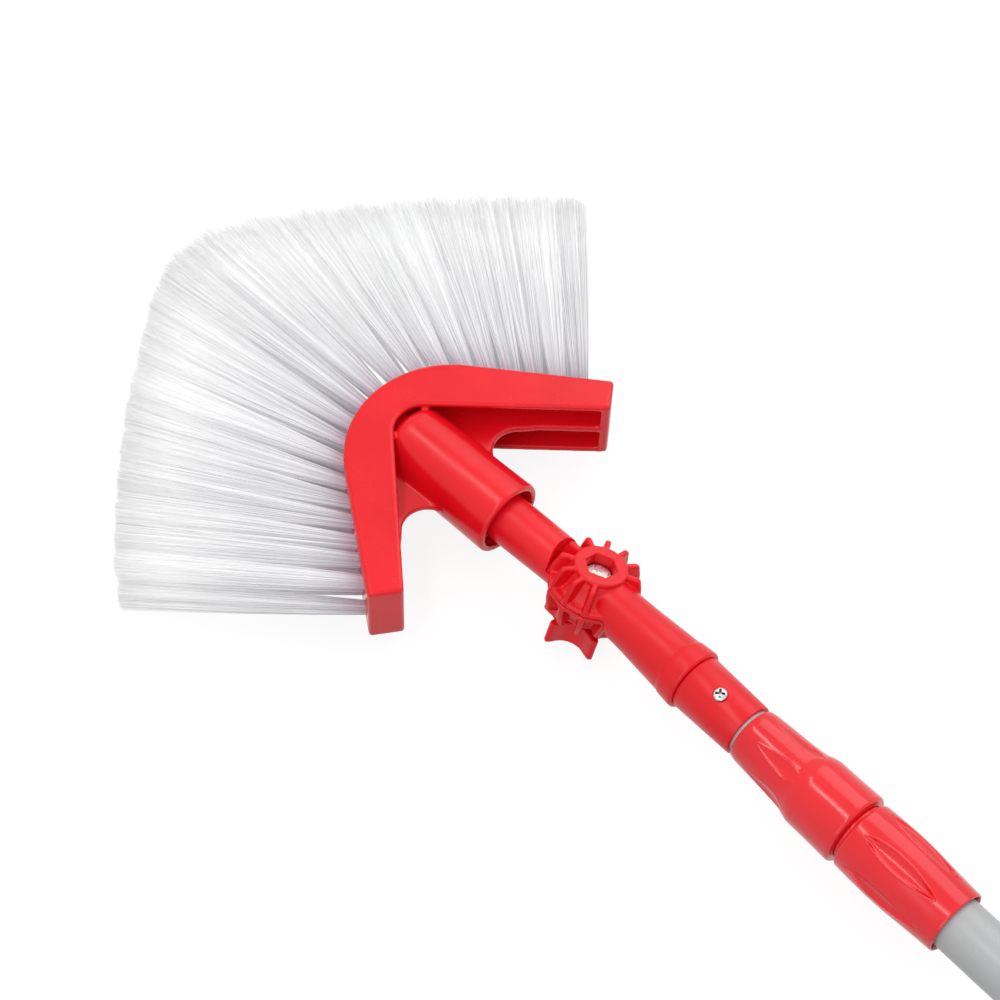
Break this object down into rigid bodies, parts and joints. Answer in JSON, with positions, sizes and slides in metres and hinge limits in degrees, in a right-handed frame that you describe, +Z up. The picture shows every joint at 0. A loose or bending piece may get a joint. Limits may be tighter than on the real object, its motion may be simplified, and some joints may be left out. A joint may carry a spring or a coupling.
{
  "type": "cobweb_brush",
  "caption": "Cobweb brush with an angled fan of soft bristles, a gear-like tilting joint with star knob, and a twist-lock telescopic pole",
  "frame": {"origin": "centre of the hanging hole in the end cap, on the axis of the pole", "axes": "+X runs along the pole from the end cap to the brush, +Z is up, square to the flat of the brush head, and +Y is across the brush"},
  "size_m": [1.1204, 0.298, 0.0528],
  "materials": {
    "red_plastic": "gloss",
    "pole_paint": "satin",
    "zinc_steel": "satin",
    "grey_plastic": "matte",
    "bristle": "matte"
  },
  "bodies": {
    "outer_tube": {"outer_pole": "pole_paint", "pole_grip": "red_plastic", "end_cap": "red_plastic", "clamp_collar": "red_plastic", "clamp_jaws": "grey_plastic"},
    "clamp_ring": {"squeeze_ring": "grey_plastic"},
    "clamp_sleeve": {"clamp_nut": "red_plastic"},
    "pole_slide": {"guide_bush": "grey_plastic"},
    "inner_tube": {"inner_pole": "pole_paint", "pole_tip": "red_plastic", "tip_screw": "zinc_steel"},
    "arm": {"lower_arm": "red_plastic", "joint_bolt": "zinc_steel"},
    "knob_washer": {"joint_washer": "zinc_steel"},
    "knob": {"star_knob": "red_plastic", "knob_nut": "zinc_steel"},
    "neck": {"neck": "red_plastic"},
    "head": {"brush_head": "red_plastic", "bristles_left": "bristle", "bristles_nose": "bristle", "bristles_right": "bristle"}
  },
  "joints": [
    {"name": "clamp_advance", "type": "slide", "parent": "outer_tube", "child": "clamp_ring", "axis": [1, 0, 0], "range_m": [0, 0.0012]},
    {"name": "clamp_turn", "type": "hinge", "parent": "clamp_ring", "child": "clamp_sleeve", "pos_m": [0.7, 0, 0], "axis": [1, 0, 0], "range_deg": [0, 180]},
    {"name": "telescope", "type": "slide", "parent": "outer_tube", "child": "pole_slide", "axis": [1, 0, 0], "range_m": [0, 0.48]},
    {"name": "pole_swivel", "type": "hinge", "parent": "pole_slide", "child": "inner_tube", "pos_m": [0.1, 0, 0], "axis": [1, 0, 0], "continuous": true},
    {"name": "arm_unscrew", "type": "hinge", "parent": "inner_tube", "child": "arm", "pos_m": [0.8, 0, 0], "axis": [1, 0, 0], "range_deg": [0, 1080]},
    {"name": "knob_advance", "type": "slide", "parent": "arm", "child": "knob_washer", "axis": [0, 0.3256, -0.9455], "range_m": [0, 0.0025]},
    {"name": "knob_turn", "type": "hinge", "parent": "knob_washer", "child": "knob", "pos_m": [0.85, 0, 0], "axis": [0, -0.3256, 0.9455], "range_deg": [0, 720]},
    {"name": "head_angle", "type": "hinge", "parent": "arm", "child": "neck", "pos_m": [0.85, 0, 0], "axis": [0, -0.3256, 0.9455], "range_deg": [-95, 85]},
    {"name": "head_unscrew", "type": "hinge", "parent": "neck", "child": "head", "pos_m": [0.85, 0, 0], "axis": [0.9962, 0.0824, 0.0284], "range_deg": [0, 1080]}
  ],
  "couplings": [
    {"joint": "clamp_advance", "follows": "clamp_turn", "m_per_rad": 0.00038197},
    {"joint": "knob_advance", "follows": "knob_turn", "m_per_rad": 0.00019894}
  ]
}
